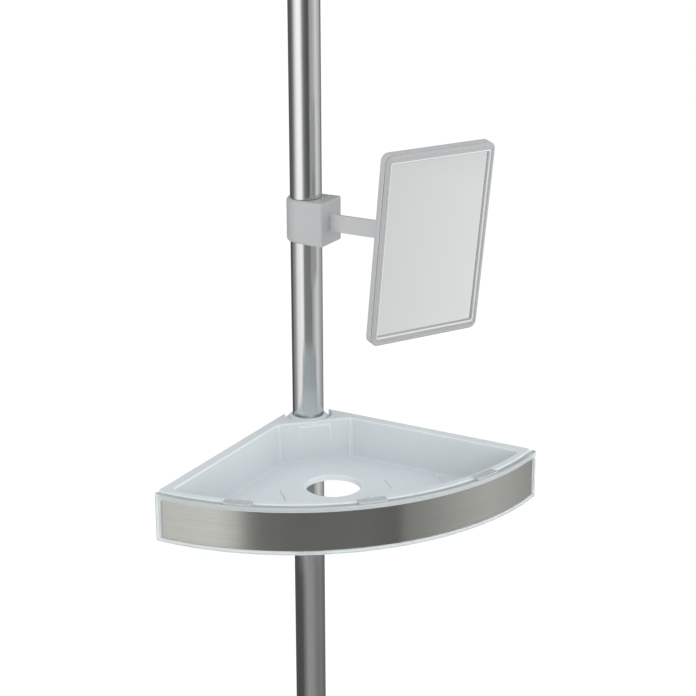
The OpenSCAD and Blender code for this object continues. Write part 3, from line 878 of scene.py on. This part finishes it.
def front_strip():
    """Clear strip round the front: a lip above and below the steel, rounded ends, hooks over the rim."""
    r_in, r_out = TRAY_R + 0.1 * MM, TRAY_R + 4.6 * MM
    top, bottom = RIM - 0.8 * MM, RIM - 38 * MM
    steel_top, steel_bottom = high("steel_band").z + 0.1 * MM, low("steel_band").z - 0.1 * MM
    recess, lip, corner = 1.8 * MM, 0.25 * MM, 3.4 * MM

    def section(depth, end_inset, low_inset):
        out = r_out - end_inset
        cut = min(depth, lip)
        return fillet([
            (r_in, top - low_inset, 0.5 * MM), (out, top - low_inset, 0.8 * MM), (out, steel_top + lip, 0),
            (out - cut, steel_top, 0), (out - depth, steel_top, 0), (out - depth, steel_bottom, 0),
            (out - cut, steel_bottom, 0), (out, steel_bottom - lip, 0), (out, bottom + low_inset, 0.8 * MM),
            (r_in, bottom + low_inset, 0.5 * MM),
        ], 0, 4)

    turn = math.degrees(corner / r_out)
    right = [(CHANNEL_END + 0.02, section(0, 0, 0))]
    left = [(-CHANNEL_END - 0.02, section(0, 0, 0))]
    for t in quarter(6):
        shape = section(0, corner * (1 - math.cos(t)), 0.6 * MM * (1 - math.cos(t)) ** 2)
        right.append((45 - turn * (1 - math.sin(t)), shape))
        left.append((-right[-1][0], shape))
    channel = [(CHANNEL_END * k / 90, section(recess, 0, 0)) for k in range(-90, 91)]
    sections = left[::-1] + channel + right
    obj = arc_sweep("front_strip", sections, CLEAR_PLASTIC, 35)
    for a in HOOKS_AT:
        fuse(obj, arc_bar("stem", r_in + 0.3 * MM, r_out - 1.2 * MM, top - 1 * MM, RIM + 0.6 * MM, 2.8,
                          0.1 * MM, CLEAR_PLASTIC, a))
        fuse(obj, arc_bar("hook", TRAY_R - 3.5 * MM, r_out - 0.7 * MM, RIM + 0.02 * MM, RIM + 0.75 * MM, 3,
                          0.3 * MM, CLEAR_PLASTIC, a))
    stands_for(obj, "tray", "clear_plastic", "front_carrier")


def steel_band():
    r_out = TRAY_R + 3.6 * MM
    bottom, top = low("steel_band").z, high("steel_band").z
    obj = arc_bar("front_band", r_out - 0.8 * MM, r_out, bottom, top, STEEL_END, 0.2 * MM, BAND_STEEL,
                  steps=90, roll=0.6 * MM)
    add_uv(obj, lambda p: (math.atan2(p.x, APEX - p.y) * r_out, p.z, 0))
    stands_for(obj, "tray", "brushed_band", "steel_band")


# Bore of the pieces that grip the pole
GRIP_BORE_R = 12.55 * MM


def grip_halves():
    bottom, top = low("tray_collet_left").z, high("tray_collet_left").z
    flange_top = bottom + 2.4 * MM
    flange_r, sleeve_r = mm(17.5, 14.9)
    profile = [(GRIP_BORE_R, bottom, 0.3 * MM), (flange_r, bottom, 0.8 * MM),
               (flange_r, flange_top, 0.4 * MM), (sleeve_r, flange_top, 0.2 * MM),
               (sleeve_r, top, 0.5 * MM), (GRIP_BORE_R, top, 0.2 * MM)]
    size = (40.4 * MM, 80 * MM, top - bottom + 2 * MM)
    for side, x in (("left", -0.2 * MM), ("right", -40.2 * MM)):
        obj = lathe("pole_grip_" + side, fillet(profile, 0, 3), INNER_PLASTIC, segments=96)
        carve(obj, box_piece("cutter", (x, -40 * MM, bottom - MM), size, INNER_PLASTIC))
        soften(obj, 0.2 * MM, 60, 2)
        stands_for(obj, "tray_grip", "inner_plastic", "tray_collet_" + side)


tray()
front_strip()
steel_band()
grip_halves()


# Mirror clamp and arm
ARM_START = 15.5 * MM
ARM_SCREW_R = 1.4 * MM
AT_ARM_SCREW = AT_ARM @ Matrix.Translation((19 * MM, 0, 0))
PAN_PIN_R = 1.75 * MM
TILT_PIN_R = 1.5 * MM
SCREW_SPOTS = [(x, z) for x in mm(-9.8, 9.8) for z in mm(-11, 11)]


def clamp():
    bottom, top = low("clamp_body").z - PAN.z, high("clamp_body").z - PAN.z
    r, end, corner, wide_edge, fine_edge = mm(15.25, 23, 1.4, 2.4, 0.7)
    run = 14
    outline = arc((0, 0), r, 90, 270, 48)
    edges = [wide_edge] * len(outline)

    def side(y, steps):
        for k in steps:
            x = (end - corner) * k / run
            outline.append(Vector((x, y)))
            edges.append(wide_edge + (fine_edge - wide_edge) * min(1, x / (11 * MM)))

    side(-r, range(1, run + 1))
    turns = arc((end - corner, corner - r), corner, -67.5, 0, 3)
    turns += arc((end - corner, r - corner), corner, 0, 90, 4)
    outline += turns
    edges += [fine_edge] * len(turns)
    side(r, range(run - 1, 0, -1))
    obj = prism("clamp", outline, bottom, top, edges, CLAMP_PLASTIC, AT_ARM, 5)
    box, drill = tools(CLAMP_PLASTIC, AT_ARM)
    carve(obj, drill("bore", 13.55 * MM, bottom - 5 * MM, top + 5 * MM, segments=96))
    carve(obj, box("slit", (11 * MM, 4 * MM, bottom - MM), (1.5 * MM, 20 * MM, top - bottom + 2 * MM)))
    carve(obj, box("recess", (ARM_START, -2.05 * MM, -6.9 * MM), mm(10, 4.1, 13.8)))
    drill = tools(CLAMP_PLASTIC, AT_ARM_SCREW)[1]
    carve(obj, drill("screw_hole", 2.8 * MM, bottom - MM, bottom + 3 * MM))
    carve(obj, drill("pilot", ARM_SCREW_R, bottom, 10.8 * MM))
    soften(obj, 0.4 * MM, 50, 3, 45)
    stands_for(obj, "mirror_clamp", "clamp_plastic", "clamp_body")


def clamp_lining():
    bottom, top = low("clamp_liner").z - PAN.z, high("clamp_liner").z - PAN.z
    lining_r = 13.5 * MM
    profile = [(GRIP_BORE_R, bottom, 0.3 * MM), (lining_r, bottom, 0.2 * MM), (lining_r, top, 0.2 * MM),
               (GRIP_BORE_R, top, 0.3 * MM)]
    obj = lathe("clamp_lining", fillet(profile, 0, 2), INNER_PLASTIC, AT_ARM, 96)
    size = (40 * MM, 1 * MM, top - bottom + 2 * MM)
    carve(obj, box_piece("slot", (-40 * MM, -0.5 * MM, bottom - MM), size, INNER_PLASTIC, AT_ARM))
    stands_for(obj, "mirror_grip", "inner_plastic", "clamp_liner")


def arm():
    reach = math.hypot(PAN.x, PAN.y)
    neck = 5.6 * MM
    box, drill = tools(ARM_PLASTIC, AT_ARM)
    obj = box("arm", (ARM_START, -2 * MM, -6.85 * MM), (reach - neck - ARM_START, 4 * MM, 13.7 * MM),
              edge=0.7 * MM)
    fuse(obj, box("neck", (reach - neck - 2 * MM, -2 * MM, -3.5 * MM), (neck + 1 * MM, 4 * MM, 7 * MM),
                  edge=0.5 * MM))
    drill = tools(ARM_PLASTIC, AT_ARM @ Matrix.Translation((reach, 0, 0)))[1]
    fuse(obj, drill("barrel", 4.2 * MM, -3.5 * MM, 3.5 * MM, edge=0.4 * MM))
    carve(obj, drill("bore", 1.8 * MM, -8 * MM, 8 * MM))
    carve(obj, rod("bore", ARM_SCREW_R, -12 * MM, 12 * MM, ARM_PLASTIC, AT_ARM_SCREW, segments=32))
    soften(obj, 0.2 * MM, 55, 2, 45)
    stands_for(obj, "mirror_clamp", "arm_plastic", "mirror_arm")


def knuckle():
    across = AT_PAN @ Matrix.Translation((0, -11 * MM, 0)) @ ABOUT_Y
    box, drill = tools(CLAMP_PLASTIC, AT_PAN)
    cross_drill = tools(CLAMP_PLASTIC, across)[1]
    obj = box("knuckle_piece", mm(-4, -7.8, -6.8), mm(8, 3.2, 13.6), edge=0.5 * MM)
    for z in mm(-6.8, 3.8):
        fuse(obj, box("plate", (-4 * MM, -7 * MM, z), mm(8, 7, 3), edge=0.4 * MM))
        fuse(obj, drill("disc", 5 * MM, z, z + 3 * MM, edge=0.4 * MM))
    fuse(obj, box("tongue", mm(-4, -11, -3.2), mm(8, 4, 6.4), edge=0.3 * MM))
    fuse(obj, cross_drill("eye", 3.2 * MM, -4 * MM, 4 * MM, edge=0.4 * MM))
    carve(obj, drill("bore", PAN_PIN_R, -12 * MM, 12 * MM, segments=32))
    carve(obj, cross_drill("bore", 1.55 * MM, -9 * MM, 9 * MM, segments=32))
    soften(obj, 0.2 * MM, 60, 2, 45)
    stands_for(obj, "mirror_knuckle", "clamp_plastic", "knuckle")


def pin(name, node, body, at, r, half, head_r, head_h):
    """Riveted pin: domed head at both ends."""
    dome = [(head_r, half), (head_r * 0.92, half + head_h * 0.7), (head_r * 0.6, half + head_h)]
    profile = [(x, -z) for x, z in dome[::-1]] + [(r, -half), (r, half)] + dome
    obj = spindle(name, profile, SCREW_STEEL, at, 48, 50)
    stands_for(obj, body, "screw_steel", node)


def bracket():
    plate_y = -5.5 * MM
    flat, across = AT_TILT @ ABOUT_X, AT_TILT @ ABOUT_Y
    outline = fillet([mm(-13, -15), mm(13, -15), mm(13, 15), mm(-13, 15)], 3 * MM, 6)
    obj = prism("back_bracket", outline, -plate_y - 2 * MM, -plate_y, 0.4 * MM, CLAMP_PLASTIC, flat)
    box = tools(CLAMP_PLASTIC, AT_TILT)[0]
    for x in mm(-6.8, 4.3):
        drill = tools(CLAMP_PLASTIC, across @ Matrix.Translation((0, 0, x)))[1]
        fuse(obj, drill("ear", 3.8 * MM, 0, 2.5 * MM, edge=0.4 * MM))
        fuse(obj, box("web", (x, plate_y + 1 * MM, -3.8 * MM), mm(2.5, 4.5, 7.6), edge=0.3 * MM))
    carve(obj, rod("bore", TILT_PIN_R, -9 * MM, 9 * MM, CLAMP_PLASTIC, across, segments=32))
    for x, z in SCREW_SPOTS:
        drill = tools(CLAMP_PLASTIC, flat @ Matrix.Translation((x, z, 0)))[1]
        carve(obj, drill("hole", 1.5 * MM, 1 * MM, 8 * MM, segments=32))
    soften(obj, 0.2 * MM, 60, 2, 45)
    stands_for(obj, "mirror", "clamp_plastic", "mirror_bracket")


def bracket_screws():
    """Pan-head screws with a cross recess."""
    made = []
    for x, z in SCREW_SPOTS:
        at = AT_TILT @ Matrix.Translation((x, -3.5 * MM, z)) @ Matrix.Rotation(-math.pi / 2, 4, "X")
        head = rod("screw", 2.5 * MM, -0.01 * MM, 1.5 * MM, SCREW_STEEL, at, 0.6 * MM)
        fuse(head, rod("shank", 1.3 * MM, -4 * MM, 0.3 * MM, SCREW_STEEL, at))
        for turn in (0, math.pi / 2):
            box = tools(SCREW_STEEL, at @ Matrix.Rotation(turn, 4, "Z"))[0]
            carve(head, box("slot", mm(-1.5, -0.25, 0.7), mm(3, 0.5, 2)))
        made.append(head)
    obj = join(*made)
    obj.name = "bracket_screw_set"
    soften(obj, 0.05 * MM, 60, 1, 45)
    stands_for(obj, "mirror", "screw_steel", "bracket_screws")


# Mirror
MIRROR_W = 95.5 * MM
MIRROR_H = 152.5 * MM
CORNER = 6 * MM
BACK = 5.5 * MM
FRONT = BACK + 9.5 * MM
TO_FRONT = AT_TILT @ ABOUT_X


def rounded_rect(w, h, r, corner_n=10, side_n=4):
    r = max(r, 0.2 * MM)
    points = []
    right, up = w / 2 - r, h / 2 - r
    spots = ((right, up, 0), (-right, up, 90), (-right, -up, 180), (right, -up, 270))
    for k, (x, y, a) in enumerate(spots):
        turn = arc((x, y), r, a, a + 90, corner_n)
        points += turn
        nx, ny, na = spots[(k + 1) % 4]
        following = arc((nx, ny), r, na, na + 90, corner_n)[0]
        points += [turn[-1].lerp(following, i / side_n) for i in range(1, side_n)]
    return points


def frame_ring(name, profile, material, slot, node):
    """A rounded-rectangular ring or shell.

    Profile points are (inset in width, inset in height, depth from the tilt pin, corner radius).
    """
    loops = []
    for inset_x, inset_z, depth, corner in profile:
        outline = rounded_rect(MIRROR_W - 2 * inset_x, MIRROR_H - 2 * inset_z, corner)
        loops.append(level(outline, depth))
    obj = skin(name, loops, material, TO_FRONT, ring=True, sharp=45)
    return stands_for(obj, "mirror", slot, node)


def mirror_back():
    rim_depth = BACK + 7 * MM
    edge = 1.6 * MM
    levels = [(edge * (1 - math.sin(t)), BACK + edge * (1 - math.cos(t))) for t in quarter(5)]
    loops = []

    def add(inset, depth, corner=None):
        r = CORNER - inset if corner is None else corner
        loops.append(level(rounded_rect(MIRROR_W - 2 * inset, MIRROR_H - 2 * inset, r), depth))

    add(12 * MM, BACK, 4 * MM)
    add(11.4 * MM, BACK + 0.5 * MM, 4 * MM)
    add(10.6 * MM, BACK + 0.5 * MM, 4 * MM)
    add(10 * MM, BACK, 4 * MM)
    for inset, depth in levels:
        add(inset, depth)
    add(0, rim_depth - 0.3 * MM)
    add(0.3 * MM, rim_depth)
    add(1.8 * MM, rim_depth)
    add(2 * MM, rim_depth - 0.3 * MM)
    add(2 * MM, BACK + 2 * MM)
    obj = skin("mirror_shell", loops, SHELL_PLASTIC, TO_FRONT, sharp=45)
    for x in mm(-9.8, 9.8):
        for z in mm(-11, 11):
            at = TO_FRONT @ Matrix.Translation((x, z, 0))
            carve(obj, rod("hole", 1.3 * MM, BACK - MM, BACK + 3 * MM, SHELL_PLASTIC, at, segments=32))
    stands_for(obj, "mirror", "mirror_shell", "mirror_back")


def mirror_bezel():
    """Front frame: rounded outer edge, shallow channel, raised inner lip round the glass."""
    seat, back = BACK + 7.55 * MM, FRONT - 1.65 * MM
    side, top = 5.4 * MM, 7.65 * MM
    glass_front = BACK + 2 * MM + 3 * MM + 2.5 * MM
    profile = [
        (0.9 * MM, 0.9 * MM, back + 0.02 * MM, CORNER - 0.9 * MM),
        (0.3 * MM, 0.3 * MM, back + 0.12 * MM, CORNER - 0.3 * MM),
        (0.0, 0.0, back + 0.5 * MM, CORNER),
        (0.1 * MM, 0.1 * MM, back + 0.85 * MM, CORNER - 0.1 * MM),
        (0.45 * MM, 0.45 * MM, back + 1.25 * MM, CORNER - 0.45 * MM),
        (1.1 * MM, 1.1 * MM, FRONT - 0.12 * MM, CORNER - 1.1 * MM),
        (1.7 * MM, 1.7 * MM, FRONT, CORNER - 1.7 * MM),
        (2.1 * MM, 2.3 * MM, FRONT - 0.1 * MM, CORNER - 2.1 * MM),
        (2.3 * MM, 2.6 * MM, FRONT - 0.7 * MM, CORNER - 2.3 * MM),
        (2.8 * MM, 3.3 * MM, FRONT - 0.75 * MM, CORNER - 2.8 * MM),
        (3.0 * MM, 3.7 * MM, FRONT - 0.4 * MM, CORNER - 3.0 * MM),
        (3.9 * MM, 5.2 * MM, FRONT - 0.35 * MM, CORNER - 3.7 * MM),
        (4.1 * MM, 5.6 * MM, FRONT - 0.05 * MM, CORNER - 3.9 * MM),
        (4.5 * MM, 6.4 * MM, FRONT - 0.05 * MM, 1.8 * MM),
        (4.8 * MM, 6.9 * MM, FRONT - 0.5 * MM, 1.5 * MM),
        (side, top, glass_front + 0.3 * MM, 1.0 * MM),
        (side, top, glass_front + 0.1 * MM, 1.0 * MM),
        (3.9 * MM, 3.9 * MM, glass_front + 0.1 * MM, 2 * MM),
        (3.9 * MM, 3.9 * MM, BACK + 4.2 * MM, 2 * MM),
        (2.2 * MM, 2.2 * MM, BACK + 4.2 * MM, CORNER - 2 * MM),
        (2.1 * MM, 2.1 * MM, seat, CORNER - 2 * MM),
        (1.9 * MM, 1.9 * MM, back + 0.02 * MM, CORNER - 1.9 * MM),
    ]
    obj = frame_ring("mirror_front_frame", profile, FRAME_PLASTIC, "mirror_frame", "mirror_bezel")
    obj.data.materials.append(LIP_PLASTIC)
    to_local = TO_FRONT.inverted()
    for polygon in obj.data.polygons:
        c = to_local @ polygon.center
        inset = min(MIRROR_W / 2 - abs(c.x) - 4.15 * MM, (MIRROR_H / 2 - abs(c.y) - 5.7 * MM))
        if c.z > FRONT - 0.45 * MM and inset > 0:
            polygon.material_index = 1


def glass():
    back, front = BACK + 5 * MM, BACK + 7.5 * MM
    outline = rounded_rect(MIRROR_W - 8.4 * MM, MIRROR_H - 8.4 * MM, 2 * MM)
    obj = prism("looking_glass", outline, back, front, 0.3 * MM, MIRROR_GLASS, TO_FRONT)
    stands_for(obj, "mirror", "mirror_glass", "mirror_glass")


clamp()
clamp_lining()
arm()
knuckle()
pin("pan_rivet", "pan_pin", "mirror_knuckle", AT_PAN, PAN_PIN_R, 6.8 * MM, 2.8 * MM, 0.8 * MM)
pin("tilt_rivet", "tilt_pin", "mirror", AT_TILT @ ABOUT_Y, TILT_PIN_R, 6.8 * MM, 2.5 * MM, 0.8 * MM)
bracket()
bracket_screws()
mirror_back()
mirror_bezel()
glass()

# The spring's wire and ends, as in the CAD
SPRING_LOW = 1345 * MM
SPRING_HIGH = 1470 * MM
SPRING_COIL_R = 8.1 * MM
SPRING_WIRE_R = 0.75 * MM
SPRING_TURNS = 11
SPRING_END_GAP = 0.1 * MM


def compression_spring():
    """Coil between the seat and the plunger."""
    steps, sides = 28, 10
    z_low = SPRING_LOW + SPRING_WIRE_R + SPRING_END_GAP
    z_high = SPRING_HIGH - SPRING_WIRE_R - SPRING_END_GAP
    count = SPRING_TURNS * steps + 1
    bm = bmesh.new()
    rings = []
    for i in range(count):
        a = TAU * i / steps
        z = z_low + (z_high - z_low) * i / (count - 1)
        ring = []
        for k in range(sides):
            b = TAU * k / sides
            r = SPRING_COIL_R + SPRING_WIRE_R * math.cos(b)
            ring.append(bm.verts.new((r * math.cos(a), r * math.sin(a), z + SPRING_WIRE_R * math.sin(b))))
        rings.append(ring)
    for first, second in zip(rings, rings[1:]):
        for k in range(sides):
            j = (k + 1) % sides
            bm.faces.new((first[k], second[k], second[j], first[j]))
    bm.faces.new(rings[0])
    bm.faces.new(rings[-1][::-1])
    obj = link_mesh("compression_spring", bm, SPRING_STEEL)
    stands_for(obj, "extension", "spring_steel", "tension_spring")
    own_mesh(obj)


compression_spring()

# CAD nodes that stay, with their own finish
KEPT = {
    "foot_screw": (SCREW_STEEL, "screw_steel"), "foot_plug": (INNER_PLASTIC, "inner_plastic"),
    "lock_collet": (INNER_PLASTIC, "inner_plastic"), "guide_bush": (INNER_PLASTIC, "inner_plastic"),
    "spring_seat": (INNER_PLASTIC, "inner_plastic"),
    "ceiling_screw": (SCREW_STEEL, "screw_steel"), "arm_screw": (SCREW_STEEL, "screw_steel"),
    "mirror_pad": (FOAM, "foam"),
}
for node, (material, slot) in KEPT.items():
    obj = frame["nodes"][node]
    obj.data.materials.clear()
    obj.data.materials.append(material)


# Studio
def backdrop():
    s = Shader("floor_paper", (0.98, 0.98, 0.98), 1.0, Specular_IOR_Level=0.0)
    s.to("Base Color", s.mixed(s.noise(3, detail=2), (0.98, 0.98, 0.98), (0.99, 0.99, 0.99)))
    bm = bmesh.new()
    bmesh.ops.create_grid(bm, x_segments=8, y_segments=8, size=30)
    floor = link_mesh("floor", bm, s.material)
    floor.visible_glossy = False  # the pole's foot mirrors the tent, not the white paper


def light_tent():
    """Reflections for the metal: a ring of panels round the object, seen by glossy rays only."""
    steps = 144
    bm = bmesh.new()
    rows = [[bm.verts.new(p) for p in circle(TENT_R, z, steps)] for z in (TENT_LOW, TENT_TOP)]
    for k in range(steps):
        j = (k + 1) % steps
        bm.faces.new((rows[0][k], rows[0][j], rows[1][j], rows[1][k]))
    s = Shader("tent_panels", (1, 1, 1), 1)
    nodes, links = s.nodes, s.links
    split = nodes.new("ShaderNodeSeparateXYZ")
    links.new(s.coord.outputs["Object"], split.inputs["Vector"])
    back = s.math("MULTIPLY", split.outputs["Y"], -1)
    bearing = s.ranged(s.math("ARCTAN2", split.outputs["X"], back), 0, 1, -math.pi, math.pi)
    mix = None
    for panels, change in TENT_ROWS:
        ramp = nodes.new("ShaderNodeValToRGB")
        links.new(bearing, ramp.inputs["Fac"])
        while len(ramp.color_ramp.elements) < len(panels):
            ramp.color_ramp.elements.new(0.5)
        for element, (degrees, level) in zip(ramp.color_ramp.elements, panels):
            element.position = (degrees + 180) / 360
            element.color = (level, level, level, 1)
        if mix is None:
            mix = ramp.outputs["Color"]
        else:
            mix = s.mixed(s.ranged(split.outputs["Z"], 0, 1, *change), mix, ramp.outputs["Color"])
    glow = nodes.new("ShaderNodeEmission")
    links.new(mix, glow.inputs["Color"])
    links.new(glow.outputs["Emission"], nodes["Material Output"].inputs["Surface"])
    nodes.remove(s.main)
    tent = link_mesh("light_tent", bm, s.material)
    tent.visible_camera = False
    tent.visible_diffuse = False
    tent.visible_transmission = False
    tent.visible_shadow = False
    tent.visible_volume_scatter = False


TENT_R = 0.6
TENT_LOW = -1.0
TENT_TOP = 2.4
# Brightness of the tent's panels by bearing in degrees: 0 is towards -Y, positive towards +X
HIGH_PANELS = (
    (-180, 0.12), (-125, 0.12), (-106, 0.28), (-82, 1.0), (-68, 1.3), (-44, 1.25), (-29, 0.35),
    (-14, 0.16), (-4, 0.12), (15, 0.12), (19, 0.42), (40, 0.52), (70, 0.85), (88, 0.68), (108, 0.5),
    (128, 0.2), (180, 0.12),
)
MIDDLE_PANELS = (
    (-180, 0.1), (-140, 0.1), (-125, 0.3), (-106, 0.4), (-85, 0.95), (-66, 1.1), (-46, 1.2), (-39, 0.95),
    (-34.5, 0.44), (-30, 0.29), (-16, 0.25), (8, 0.27), (22, 0.22), (24, 0.43), (31, 0.47), (46, 0.68),
    (61, 0.82), (75, 0.72), (89, 0.55), (108, 0.45), (128, 0.3), (145, 0.1), (180, 0.1),
)
LOW_PANELS = (
    (-180, 0.12), (-120, 0.09), (-75, 0.10), (-50, 0.26), (-30, 0.38), (5, 0.34), (45, 0.22), (75, 0.26),
    (105, 0.18), (180, 0.2),
)
# Each row of panels and the heights between which it takes over from the row below
TENT_ROWS = ((LOW_PANELS, None), (MIDDLE_PANELS, (0.26, 0.32)), (HIGH_PANELS, (0.62, 0.68)))


def area_light(name, place, aim, size, power, color=(1, 1, 1)):
    data = bpy.data.lights.new(name, "AREA")
    data.shape = "RECTANGLE"
    data.size, data.size_y = size
    data.energy = power
    data.color = color
    light = bpy.data.objects.new(name, data)
    bpy.context.scene.collection.objects.link(light)
    light.location = place
    light.rotation_mode = "QUATERNION"
    light.rotation_quaternion = (Vector(aim) - Vector(place)).to_track_quat("-Z", "Y")
    light.visible_glossy = False
    light.visible_camera = False
    return light


def studio():
    world = bpy.data.worlds.new("studio")
    bpy.context.scene.world = world
    world.use_nodes = True
    world.node_tree.nodes["Background"].inputs["Color"].default_value = (1, 1, 1, 1)
    world.node_tree.nodes["Background"].inputs["Strength"].default_value = 1.03
    aim = (0, -0.05, RIM)
    area_light("front", (0.45, -2.6, 1.3), aim, (1.4, 1.4), 18)
    area_light("side", (2.4, -0.4, 1.1), aim, (1.4, 1.4), 5)


backdrop()
light_tent()
studio()
bpy.context.scene.view_settings.view_transform = "Standard"
